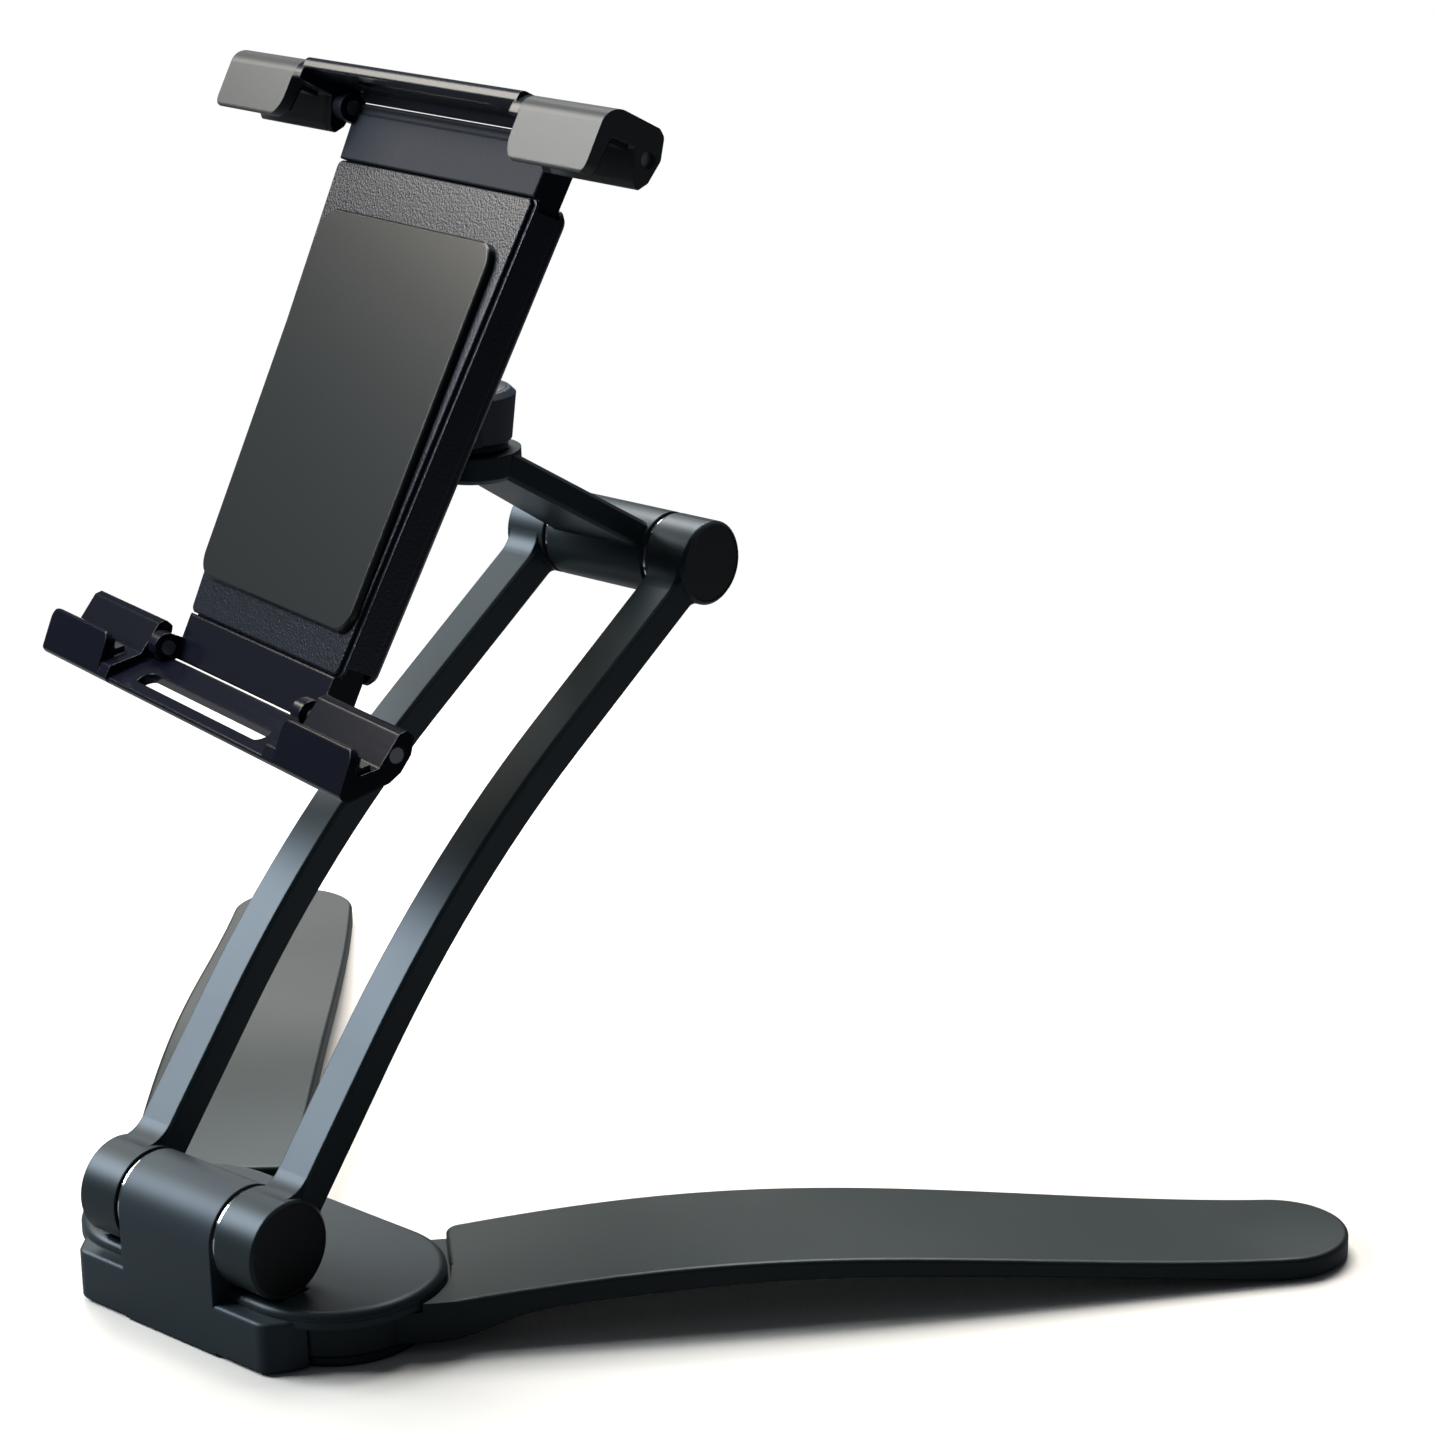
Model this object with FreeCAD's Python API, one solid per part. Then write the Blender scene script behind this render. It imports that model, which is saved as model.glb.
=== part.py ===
import FreeCAD, Part
import math
import os

# Sizes are in millimetres and angles in degrees. X runs along the hinge axes, -Y is the front and Z is up.
# The origin lies on the floor under the middle of the lower hinge.

# gaps between pieces
MOVING_GAP = 0.3
BORE_GAP = 0.06

# lower and upper hinge
HINGE_Z = 22.7
LOWER_BARREL_R = 10.0
UPPER_BARREL_R = 8.8
UPPER_HINGE_Y = 125.3
UPPER_HINGE_Z = 130.8
POST_HALF_WIDTH = 13.2
RING_WIDTH = 1.0
RING_STEP = 0.5
BOSS_INNER_X = 14.6
BOSS_OUTER_X = 25.2
AXLE_R = 3.0
BUSH_R = 4.6
NUT_R = 5.6
NUT_HEIGHT = 3.4
NUT_FACE_X = 19.0
CAP_RECESS = 1.2
CAP_RIM = 0.9

# base
PIVOT_X = 22.0
PIVOT_Y = 14.9
DECK_R = 21.4
DECK_LOW = 9.6
DECK_TOP = 11.2
COVER_TOP = 13.2
COVER_EDGE_R = 1.8
WALL_EDGE_R = 0.8
BASE_LOW = 0.5
BASE_FRONT = -10.0
FLOOR_PLATE_R = 18.4
FLOOR_PLATE_LOW = 0.8
FLOOR_PLATE_TOP = 2.3
WASHER_T = 0.2
COLUMN_R = 6.5
COLUMN_SCREW_R = 1.5
COUNTERSINK_R = 3.0
SOLE_MARGIN = 1.0
WEB_HALF_WIDTH = 2.6
MOUNT_HOLE_X = 12.0
MOUNT_HOLE_Y = -5.2
MOUNT_HOLE_R = 1.65
MOUNT_HOLE_DEPTH = 8.0

# legs, in a frame with a along the leg from its pivot and c to its inner side
LEG_ANGLE = 48.3
HUB_R = 19.0
HUB_LOW = 2.8
HUB_TOP = 9.2
BLADE_STEP_R = DECK_R + 0.6
LEG_TIP_A = 188.2
LEG_TIP_C = 3.0
LEG_TIP_R = 14.45
LEG_EDGE_R = 0.8
FOOT_PAD_MARGIN = 2.95
FOOT_PAD_T = 0.8

# arms
ARM_INNER_X = 15.4
ARM_OUTER_X = 24.4
ARM_DEPTH = 7.5
ARM_LOW_ANGLE = 50.0
ARM_HIGH_ANGLE = 33.0
ARM_BEND_R = 253.0
ARM_LOW_OFFSET = 0.7
ARM_EDGE = 0.6
ARM_FRONT_WEB_R = 7.0
ARM_REAR_WEB_R = 2.5

# link between the upper hinge and the head
LINK_ANGLE = 32.0
LINK_TOP = 3.8
LINK_LOW = -1.8
LINK_TIP_HALF_WIDTH = 9.4
HEAD_Y = 83.3
LINK_PAD_LOW = 154.6
LINK_PAD_TOP = 160.1

# swivel head
HEAD_LOW = 160.4
HEAD_TOP = 172.5
HEAD_R = 8.8
HEAD_CAP_R = 6.9
HEAD_CAP_T = 1.4
HEAD_CAP_RISE = 0.8
NUT_SEAT_Z = 165.6
SWIVEL_BOLT_TOP = 170.4

# tilting joint and turntable
YAW = -20.1
TILT = 27.2
ROLL = 4.2
TILT_AXIS_FORWARD = 13.4
TILT_AXIS_Z = 164.5
TILT_AXIS_TO_FACE = 15.5
CHEEK_INNER = 4.9
CHEEK_OUTER = 8.3
CHEEK_R = 4.4
TILT_PIN_R = 2.0
FLANGE_R = 15.0
FLANGE_T = 1.8
TURN_PIN_HEAD_R = 5.5
TURN_PIN_HEAD_T = 1.4

# tablet clamp, in a frame with u across, v up along the plate and n out of its face
PLATE_HALF_U = 38.55
PLATE_TAPER = 0.0818
PLATE_HALF_V = 48.3
PLATE_T = 1.4
FACE_T = 0.9
SHELL_MARGIN = 1.2
WALL_T = 0.9
SHELL_LOW = -6.6
COVER_LOW = -8.4
PLATE_CORNER_R = 1.5
PAD_LOW_HALF_U = 34.8
PAD_HIGH_HALF_U = 37.4
PAD_LOW_V = -40.6
PAD_HIGH_V = 38.2
PAD_CORNER_R = 5.0
PAD_T = 1.5
SLIDE_TOP = -1.7
SLIDE_T = 1.7
SLIDE_INNER_V = 2.0
SLIDE_LAND_END = 1.6
LOWER_SLIDE_HALF_U = 34.3
FLANGE_WALL = 1.5
SLOT_U = 18.0
SLOT_HALF = 3.2
POST_R = 2.4
POST_FROM_EDGE = 4.8
RAIL_U = 27.0
RAIL_HALF = 3.0
RAIL_DEPTH = 2.4
RAIL_REACH = 30.0
RAIL_ROOT = 34.0
SPRING_U = 8.6
SPRING_R = 1.0
SPRING_WIRE_R = 0.25
SPRING_N = -5.1
SPRING_COIL_HALF = 12.0
SPRING_PEG_V = 18.0
SPRING_PEG_R = 1.2
COVER_SCREW_R = 1.0
COVER_SCREW_HEAD_R = 2.0

# jaws: where the knuckle, the hook and the jaw itself begin or end, measured from the middle
UPPER_SPANS = (46.2, 50.0, 81.6)
LOWER_SPANS = (38.5, 43.3, 73.2)
UPPER_LIP_CORNERS = (5.0, 2.5)
LOWER_LIP_CORNERS = (2.8, 2.8)
UPPER_PIN_SUNK = 1.6
LOWER_PIN_SUNK = 0.3
JAW_PIN_R = 1.5
EAR_R = 2.9
EAR_INSIDE = 1.5
EAR_OUTSIDE = 2.4
UPPER_PIN = (59.0, 1.2)
LOWER_PIN = (-56.8, 2.6)
JAW_SLOT_HALF = 30.0
JAW_SLOT_R = 1.9

Vec = FreeCAD.Vector


def rod(radius, start, end):
    """A round rod between two points."""
    return Part.makeCylinder(radius, (end - start).Length, start, end - start)


def tube(outer, inner, start, end):
    """A round tube between two points."""
    return rod(outer, start, end).cut(rod(inner, start, end))


def block(x_range, y_range, z_range):
    """A box given by its three ranges."""
    corner = Vec(x_range[0], y_range[0], z_range[0])
    size = [r[1] - r[0] for r in (x_range, y_range, z_range)]
    return Part.makeBox(size[0], size[1], size[2], corner)


def joined(pieces):
    """One solid out of several that touch."""
    whole = pieces[0].fuse(pieces[1:])
    return whole.removeSplitter()


def in_xy(a, b):
    return Vec(a, b, 0)


def in_yz(a, b):
    return Vec(0, a, b)


def in_xz(a, b):
    return Vec(a, 0, b)


def rounded_face(corners, to_space):
    """A flat face with straight sides; each corner is (a, b, rounding radius)."""
    firsts, lasts, arcs = [], [], []
    count = len(corners)
    for i, (a, b, radius) in enumerate(corners):
        here = Vec(a, b, 0)
        before = Vec(corners[i - 1][0], corners[i - 1][1], 0) - here
        after = Vec(corners[(i + 1) % count][0], corners[(i + 1) % count][1], 0) - here
        before.normalize()
        after.normalize()
        half = before.getAngle(after) / 2
        bisector = (before + after).normalize()
        reach = radius / math.tan(half)
        first = here + before * reach
        last = here + after * reach
        middle = here + bisector * (radius / math.sin(half) - radius)
        firsts.append(to_space(first.x, first.y))
        lasts.append(to_space(last.x, last.y))
        if radius > 0:
            arcs.append(Part.Arc(firsts[-1], to_space(middle.x, middle.y), lasts[-1]).toShape())
        else:
            arcs.append(None)
    edges = []
    for i in range(count):
        if arcs[i]:
            edges.append(arcs[i])
        following = firsts[(i + 1) % count]
        if (following - lasts[i]).Length > 1e-6:
            edges.append(Part.makeLine(lasts[i], following))
    return Part.Face(Part.Wire(edges))


def spline(points, to_space):
    """A smooth edge through the points."""
    curve = Part.BSplineCurve()
    curve.interpolate([to_space(a, b) for a, b in points])
    return curve.toShape()


def line(start, end, to_space):
    return Part.makeLine(to_space(*start), to_space(*end))


def mirrored(shape):
    """The left hand twin of a right hand piece."""
    return shape.mirror(Vec(0, 0, 0), Vec(1, 0, 0))


def hexagon_nut(x_face, height, y, z):
    """A nut whose axis runs along X."""
    points = []
    for k in range(7):
        turn = math.radians(60 * k)
        points.append(Vec(x_face, y + NUT_R * math.cos(turn), z + NUT_R * math.sin(turn)))
    body = Part.Face(Part.makePolygon(points)).extrude(Vec(height, 0, 0))
    return body.cut(rod(AXLE_R, Vec(x_face, y, z), Vec(x_face + height, y, z)))


# base


def pivot(side, z=0.0):
    """A point on the pivot axis of the right (+1) or left (-1) leg."""
    return Vec(side * PIVOT_X, PIVOT_Y, z)


def stadium(radius, low, top):
    """A plate with round ends about the two leg pivots."""
    middle = block((-PIVOT_X, PIVOT_X), (PIVOT_Y - radius, PIVOT_Y + radius), (low, top))
    ends = [rod(radius, pivot(side, low), pivot(side, top)) for side in (-1, 1)]
    return joined([middle] + ends)


def front_wall():
    """The low front of the base with its rounded corners and soft rims."""
    right = [(26.6, BASE_FRONT, 3.2), (29.9, -5.7, 3.0), (31.4, -2.3, 0)]
    left = [(-x, y, r) for x, y, r in reversed(right)]
    wall = rounded_face(right + left, in_xy).extrude(Vec(0, 0, DECK_TOP - BASE_LOW))
    rims = [e for e in wall.Edges if e.BoundBox.ZLength < 1e-6 and e.BoundBox.YMin < -2.4]
    return wall.makeFillet(WALL_EDGE_R, rims)


def base_housing():
    """Front wall, deck, hinge post and the two columns that the legs turn on."""
    wall = front_wall()
    wall.translate(Vec(0, 0, BASE_LOW))
    web = block((-12, 12), (-4, PIVOT_Y), (BASE_LOW, DECK_TOP))
    back_web = block((-WEB_HALF_WIDTH, WEB_HALF_WIDTH), (PIVOT_Y, 30), (FLOOR_PLATE_TOP, DECK_TOP))
    half = POST_HALF_WIDTH
    post = block((-half, half), (BASE_FRONT, LOWER_BARREL_R), (BASE_LOW, HINGE_Z))
    barrel = rod(LOWER_BARREL_R, Vec(-half, 0, HINGE_Z), Vec(half, 0, HINGE_Z))
    body = joined([wall, web, back_web, post, barrel])
    for side in (-1, 1):
        body = body.cut(rod(HUB_R + 0.4, pivot(side), pivot(side, DECK_LOW)))
    body = body.cut(stadium(FLOOR_PLATE_R + 0.2, 0, FLOOR_PLATE_TOP))
    deck = stadium(DECK_R, DECK_LOW, DECK_TOP)
    columns = [rod(COLUMN_R, pivot(side, FLOOR_PLATE_TOP), pivot(side, DECK_TOP)) for side in (-1, 1)]
    body = joined([body, deck] + columns)
    for side in (-1, 1):
        body = body.cut(rod(COLUMN_SCREW_R, pivot(side), pivot(side, 9.0)))
        hole = Vec(side * MOUNT_HOLE_X, MOUNT_HOLE_Y, 0)
        body = body.cut(rod(MOUNT_HOLE_R, hole, hole + Vec(0, 0, BASE_LOW + MOUNT_HOLE_DEPTH)))
    bore = rod(BUSH_R, Vec(-half - 1, 0, HINGE_Z), Vec(half + 1, 0, HINGE_Z))
    return body.cut(bore)


def pivot_cover():
    """The plate with round ends that hides the leg pivots."""
    plate = stadium(DECK_R, DECK_TOP, COVER_TOP)
    rim = [e for e in plate.Edges if abs(e.BoundBox.ZMin - COVER_TOP) < 1e-6]
    plate = plate.makeFillet(COVER_EDGE_R, rim)
    notch = POST_HALF_WIDTH + 0.1
    plate = plate.cut(block((-notch, notch), (-30, LOWER_BARREL_R + 0.1), (0, 30)))
    for side in (-1, 1):
        relief_start = Vec(side * notch, 0, HINGE_Z)
        relief_end = Vec(side * (BOSS_OUTER_X + 0.6), 0, HINGE_Z)
        plate = plate.cut(rod(LOWER_BARREL_R + MOVING_GAP + 0.1, relief_start, relief_end))
    return plate


def column_screw(side):
    """A countersunk screw that holds the floor plate to one column."""
    head = Part.makeCone(COUNTERSINK_R, COLUMN_SCREW_R, 1.5, pivot(side, FLOOR_PLATE_LOW))
    shank = rod(COLUMN_SCREW_R, pivot(side, FLOOR_PLATE_LOW + 1.5), pivot(side, 8.0))
    cross = block((-2, 2), (-0.35, 0.35), (0, 0.7)).fuse(block((-0.35, 0.35), (-2, 2), (0, 0.7)))
    cross.translate(pivot(side, FLOOR_PLATE_LOW))
    return head.fuse(shank).removeSplitter().cut(cross)


def base_screws():
    return Part.makeCompound([column_screw(side) for side in (-1, 1)])


def bottom_plate():
    """The steel plate under the hubs, held by one screw at each column."""
    plate = stadium(FLOOR_PLATE_R, FLOOR_PLATE_LOW, FLOOR_PLATE_TOP)
    for side in (-1, 1):
        plate = plate.cut(Part.makeCone(COUNTERSINK_R, COLUMN_SCREW_R, 1.5, pivot(side, FLOOR_PLATE_LOW)))
    return plate


def base_pad():
    """The rubber sole under the bottom plate, open round the two screws."""
    pad = stadium(FLOOR_PLATE_R - SOLE_MARGIN, 0, FLOOR_PLATE_LOW)
    for side in (-1, 1):
        pad = pad.cut(rod(COUNTERSINK_R + MOVING_GAP, pivot(side), pivot(side, FLOOR_PLATE_LOW)))
    return pad


def leg_washers():
    """Slip washers between the hubs and the bottom plate."""
    washers = []
    for side in (-1, 1):
        low = pivot(side, FLOOR_PLATE_TOP)
        washers.append(tube(14.0, COLUMN_R + BORE_GAP, low, low + Vec(0, 0, WASHER_T)))
    return Part.makeCompound(washers)


# legs


def leg_plan():
    """The outline of one leg seen from above."""
    outer_c = -15.7
    inner_c = 16.8
    tip_low = in_xy(LEG_TIP_A, LEG_TIP_C - LEG_TIP_R)
    tip_end = in_xy(LEG_TIP_A + LEG_TIP_R, LEG_TIP_C)
    tip_high = in_xy(LEG_TIP_A, LEG_TIP_C + LEG_TIP_R)
    outer_middle = in_xy(0.5 * LEG_TIP_A, outer_c + 1.4)
    inner_middle = in_xy(0.56 * LEG_TIP_A, inner_c + 3.5)
    shoulder = in_xy(BLADE_STEP_R + 2.5, inner_c + 2.4)
    step = in_xy(BLADE_STEP_R, inner_c)
    edges = [
        Part.makeLine(in_xy(0, 0), in_xy(0, outer_c)),
        Part.Arc(in_xy(0, outer_c), outer_middle, tip_low).toShape(),
        Part.Arc(tip_low, tip_end, tip_high).toShape(),
        Part.Arc(tip_high, inner_middle, shoulder).toShape(),
        Part.Arc(shoulder, in_xy(BLADE_STEP_R + 0.8, inner_c + 1.7), step).toShape(),
        Part.makeLine(step, in_xy(0, inner_c)),
        Part.makeLine(in_xy(0, inner_c), in_xy(0, 0)),
    ]
    return Part.Face(Part.Wire(edges)).extrude(Vec(0, 0, 2 * HUB_TOP))


def leg_side():
    """The arched side view of one leg, as a slab across its whole width.

    Places are shares of the leg's length; heights are counted from the hub's top and its underside.
    """
    arch = [(0.234, 3.8), (0.32, 4.7), (0.41, 4.9), (0.51, 4.2), (0.675, 1.4), (0.82, -1.6),
            (0.935, -3.5), (1.09, -4.2)]
    belly = [(0.988, -2.0), (0.946, -1.2), (0.845, 0.9), (0.675, 4.3), (0.56, 6.2), (0.445, 7.2), (0.31, 6.6),
             (0.235, 5.8), (0.19, 4.6), (0.14, 1.4), (0.103, 0)]
    top = [(BLADE_STEP_R, HUB_TOP + 1.8)] + [(share * LEG_TIP_A, HUB_TOP + rise) for share, rise in arch]
    low = [(share * LEG_TIP_A, HUB_LOW + rise) for share, rise in belly]
    tip = (top[-1][0], low[0][1])
    back_high = (-HUB_R, top[0][1])
    back_low = (-HUB_R, HUB_LOW)
    edges = [
        line(back_high, top[0], in_xz),
        spline(top, in_xz),
        line(top[-1], tip, in_xz),
        line(tip, low[0], in_xz),
        spline(low, in_xz),
        line(low[-1], back_low, in_xz),
        line(back_low, back_high, in_xz),
    ]
    half_width = 2 * LEG_TIP_R
    slab = Part.Face(Part.Wire(edges)).extrude(Vec(0, 2 * half_width, 0))
    slab.translate(Vec(0, -half_width, 0))
    return slab


def right_leg():
    """An arched blade with a low round hub that slips under the deck."""
    blade = leg_plan().common(leg_side())
    above = 3 * HUB_TOP
    step = rod(BLADE_STEP_R, Vec(0, 0, HUB_TOP), Vec(0, 0, above))
    step = step.fuse(block((-BLADE_STEP_R, BLADE_STEP_R), (0, 2 * BLADE_STEP_R), (HUB_TOP, above)))
    blade = blade.cut(step)
    tops = [f for f in blade.Faces if f.BoundBox.ZMax > HUB_TOP + 1 and f.BoundBox.YLength > LEG_TIP_R]
    top = max(tops, key=lambda f: f.Area)
    blade = blade.makeFillet(LEG_EDGE_R, top.Edges)
    hub = rod(HUB_R, Vec(0, 0, HUB_LOW), Vec(0, 0, HUB_TOP))
    leg = joined([blade, hub])
    leg = leg.cut(rod(COLUMN_R + BORE_GAP, Vec(0, 0, 0), Vec(0, 0, above)))
    return place_leg(leg)


def place_leg(shape):
    """From the leg's own frame to the right hand pivot."""
    shape.rotate(Vec(0, 0, 0), Vec(0, 0, 1), LEG_ANGLE)
    shape.translate(pivot(1))
    return shape


def right_leg_pad():
    """The rubber sole under the tip of the leg."""
    centre = Vec(LEG_TIP_A + 1, LEG_TIP_C, 0)
    pad = rod(LEG_TIP_R - FOOT_PAD_MARGIN, centre, centre + Vec(0, 0, FOOT_PAD_T))
    side = 2 * LEG_TIP_R
    pad = pad.cut(block((0, LEG_TIP_A - 1.2), (-side, side), (-1, 2 * FOOT_PAD_T)))
    return place_leg(pad)


# arms


def arm_bar():
    """The bent bar between the two bosses: a straight, a wide bend and a straight."""
    low, high = math.radians(ARM_LOW_ANGLE), math.radians(ARM_HIGH_ANGLE)
    start = Vec(ARM_LOW_OFFSET * math.sin(low), HINGE_Z - ARM_LOW_OFFSET * math.cos(low), 0)
    span = Vec(UPPER_HINGE_Y, UPPER_HINGE_Z, 0) - start
    rest_y = span.x - ARM_BEND_R * (math.sin(low) - math.sin(high))
    rest_z = span.y - ARM_BEND_R * (math.cos(high) - math.cos(low))
    spread = math.sin(high - low)
    first_run = (rest_y * math.sin(high) - rest_z * math.cos(high)) / spread
    bend_start = start + Vec(math.cos(low), math.sin(low), 0) * first_run
    centre = bend_start + Vec(math.sin(low), -math.cos(low), 0) * ARM_BEND_R
    end = Vec(UPPER_HINGE_Y, UPPER_HINGE_Z, 0)

    def edge_points(offset):
        radius = ARM_BEND_R + offset
        on_bend = [centre + Vec(-math.sin(t), math.cos(t), 0) * radius for t in (low, (low + high) / 2, high)]
        first = start + Vec(-math.sin(low), math.cos(low), 0) * offset
        last = end + Vec(-math.sin(high), math.cos(high), 0) * offset
        return [in_yz(p.x, p.y) for p in [first] + on_bend + [last]]

    front = edge_points(ARM_DEPTH / 2)
    rear = edge_points(-ARM_DEPTH / 2)
    edges = [
        Part.makeLine(front[0], front[1]),
        Part.Arc(front[1], front[2], front[3]).toShape(),
        Part.makeLine(front[3], front[4]),
        Part.makeLine(front[4], rear[4]),
        Part.makeLine(rear[4], rear[3]),
        Part.Arc(rear[3], rear[2], rear[1]).toShape(),
        Part.makeLine(rear[1], rear[0]),
        Part.makeLine(rear[0], front[0]),
    ]
    bar = Part.Face(Part.Wire(edges)).extrude(Vec(ARM_OUTER_X - ARM_INNER_X, 0, 0))
    bar.translate(Vec(ARM_INNER_X, 0, 0))
    long_edges = [e for e in bar.Edges if e.BoundBox.XLength < 1e-6 and e.Length > 20]
    return bar.makeChamfer(ARM_EDGE, long_edges)


def boss(radius, y, z):
    """One round end of an arm with its outer edge cut back."""
    body = rod(radius, Vec(BOSS_INNER_X, y, z), Vec(BOSS_OUTER_X, y, z))
    outer = [e for e in body.Edges if abs(e.BoundBox.XMin - BOSS_OUTER_X) < 1e-6]
    return body.makeChamfer(ARM_EDGE, outer)


def boss_web(centre, radius, along, normal, offset, web_r):
    """The hollow curve between a boss and the bar's edge that lies at this offset from the boss's middle."""
    reach = math.sqrt((radius + web_r) ** 2 - (offset + web_r) ** 2)
    arc_centre = centre + normal * (offset + web_r) + along * reach
    on_boss = centre + (arc_centre - centre) * (radius / (radius + web_r))
    on_bar = arc_centre - normal * web_r
    middle = arc_centre + (on_boss + on_bar - arc_centre * 2).normalize() * web_r
    edges = [
        Part.Arc(on_boss, middle, on_bar).toShape(),
        Part.makeLine(on_bar, centre),
        Part.makeLine(centre, on_boss),
    ]
    return Part.Face(Part.Wire(edges)).extrude(Vec(ARM_OUTER_X - ARM_INNER_X - 2 * ARM_EDGE, 0, 0))


def boss_webs():
    """The four hollow curves at the two ends of the bar."""
    low, high = math.radians(ARM_LOW_ANGLE), math.radians(ARM_HIGH_ANGLE)
    x = ARM_INNER_X + ARM_EDGE
    half = ARM_DEPTH / 2
    ends = [
        (Vec(x, 0, HINGE_Z), LOWER_BARREL_R, low, 1, -ARM_LOW_OFFSET),
        (Vec(x, UPPER_HINGE_Y, UPPER_HINGE_Z), UPPER_BARREL_R, high, -1, 0),
    ]
    webs = []
    for centre, radius, angle, sense, shift in ends:
        along = Vec(0, math.cos(angle), math.sin(angle)) * sense
        normal = Vec(0, -math.sin(angle), math.cos(angle))
        webs.append(boss_web(centre, radius, along, normal, half + shift, ARM_FRONT_WEB_R))
        webs.append(boss_web(centre, radius, along, normal * -1, half - shift, ARM_REAR_WEB_R))
    return webs


def hinge_ends():
    """Radius and place of the lower and upper hinge axes."""
    return [(LOWER_BARREL_R, 0, HINGE_Z), (UPPER_BARREL_R, UPPER_HINGE_Y, UPPER_HINGE_Z)]


def right_arm():
    """A bent bar with a boss at each end, bored for the axle and its nut."""
    pieces = [arm_bar()] + boss_webs()
    for radius, y, z in hinge_ends():
        pieces.append(boss(radius, y, z))
    arm = joined(pieces)
    for radius, y, z in hinge_ends():
        arm = arm.cut(rod(AXLE_R, Vec(BOSS_INNER_X - 1, y, z), Vec(BOSS_OUTER_X + 1, y, z)))
        arm = arm.cut(rod(NUT_R + 0.2, Vec(NUT_FACE_X, y, z), Vec(BOSS_OUTER_X + 1, y, z)))
        recess = rod(radius - CAP_RIM, Vec(BOSS_OUTER_X - CAP_RECESS, y, z), Vec(BOSS_OUTER_X + 1, y, z))
        arm = arm.cut(recess)
    return arm


def end_caps(radius, y, z):
    """The two flush caps that close the outer faces of a pair of bosses."""
    caps = []
    for side in (-1, 1):
        inner = Vec(side * (BOSS_OUTER_X - CAP_RECESS), y, z)
        outer = Vec(side * (BOSS_OUTER_X - 0.1), y, z)
        caps.append(rod(radius - CAP_RIM, inner, outer))
    return Part.makeCompound(caps)


def axle(y, z):
    """The steel axle that both arms are clamped to."""
    return rod(AXLE_R, Vec(-NUT_FACE_X - NUT_HEIGHT, y, z), Vec(NUT_FACE_X + NUT_HEIGHT, y, z))


def axle_nuts(y, z):
    right = hexagon_nut(NUT_FACE_X, NUT_HEIGHT, y, z)
    return Part.makeCompound([right, mirrored(right)])


def hinge_bushes(y, z):
    """Plain bushes pressed into the ends of the barrel."""
    bushes = []
    for side in (-1, 1):
        outer = Vec(side * POST_HALF_WIDTH, y, z)
        inner = Vec(side * 2.0, y, z)
        bushes.append(tube(BUSH_R, AXLE_R + BORE_GAP, inner, outer))
    return Part.makeCompound(bushes)


def trim_rings(radius, y, z):
    """Bright rings between the barrel and the arm bosses."""
    rings = []
    for side in (-1, 1):
        inner = Vec(side * POST_HALF_WIDTH, y, z)
        outer = Vec(side * (POST_HALF_WIDTH + RING_WIDTH), y, z)
        rings.append(tube(radius - RING_STEP, AXLE_R + BORE_GAP, inner, outer))
    return Part.makeCompound(rings)


# link


def link_frame(shape):
    """From a frame with X across, Y along the link and Z out of its top, to its place."""
    shape.rotate(Vec(0, 0, 0), Vec(0, 0, 1), 180)
    shape.rotate(Vec(0, 0, 0), Vec(1, 0, 0), -LINK_ANGLE)
    shape.translate(Vec(0, UPPER_HINGE_Y, UPPER_HINGE_Z))
    return shape


def link_arm():
    """A tapered plate between the upper barrel and a round pad under the head."""
    half = POST_HALF_WIDTH
    length = (UPPER_HINGE_Y - HEAD_Y) / math.cos(math.radians(LINK_ANGLE))
    tip = LINK_TIP_HALF_WIDTH
    corners = [(-half, 0, 0), (half, 0, 0), (tip, length, 0), (-tip, length, 0)]
    plate = rounded_face(corners, in_xy).extrude(Vec(0, 0, LINK_TOP - LINK_LOW))
    plate.translate(Vec(0, 0, LINK_LOW))
    long_edges = [e for e in plate.Edges if e.BoundBox.ZLength < 1e-6 and e.BoundBox.YLength > 20]
    plate = link_frame(plate.makeChamfer(0.8, long_edges))
    head = Vec(0, HEAD_Y, 0)
    plate = plate.cut(rod(tip + 0.5, head + Vec(0, 0, LINK_PAD_TOP), head + Vec(0, 0, HEAD_TOP)))
    pad = rod(tip, head + Vec(0, 0, LINK_PAD_LOW), head + Vec(0, 0, LINK_PAD_TOP))
    low_rim = [e for e in pad.Edges if abs(e.BoundBox.ZMax - LINK_PAD_LOW) < 1e-6]
    pad = pad.makeChamfer(1.0, low_rim)
    axis_low = Vec(-half, UPPER_HINGE_Y, UPPER_HINGE_Z)
    axis_high = Vec(half, UPPER_HINGE_Y, UPPER_HINGE_Z)
    body = joined([plate, pad, rod(UPPER_BARREL_R, axis_low, axis_high)])
    body = body.cut(rod(BUSH_R, axis_low, axis_high))
    return body.cut(rod(AXLE_R, head, head + Vec(0, 0, HEAD_TOP)))


def swivel_bolt():
    """The bolt that the head turns on, pressed into the link, with its thin nut."""
    low = Vec(0, HEAD_Y, LINK_PAD_LOW + 0.5)
    bolt = rod(AXLE_R, low, Vec(0, HEAD_Y, SWIVEL_BOLT_TOP))
    nut_low = Vec(0, HEAD_Y, NUT_SEAT_Z + MOVING_GAP)
    nut = rod(NUT_R - 0.6, nut_low, nut_low + Vec(0, 0, 3.0))
    return joined([bolt, nut])


# swivel head


def to_head(shape):
    """From a frame with X across and -Y forward to the head's yaw and place."""
    shape.rotate(Vec(0, 0, 0), Vec(0, 0, 1), YAW)
    shape.translate(Vec(0, HEAD_Y, 0))
    return shape


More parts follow.
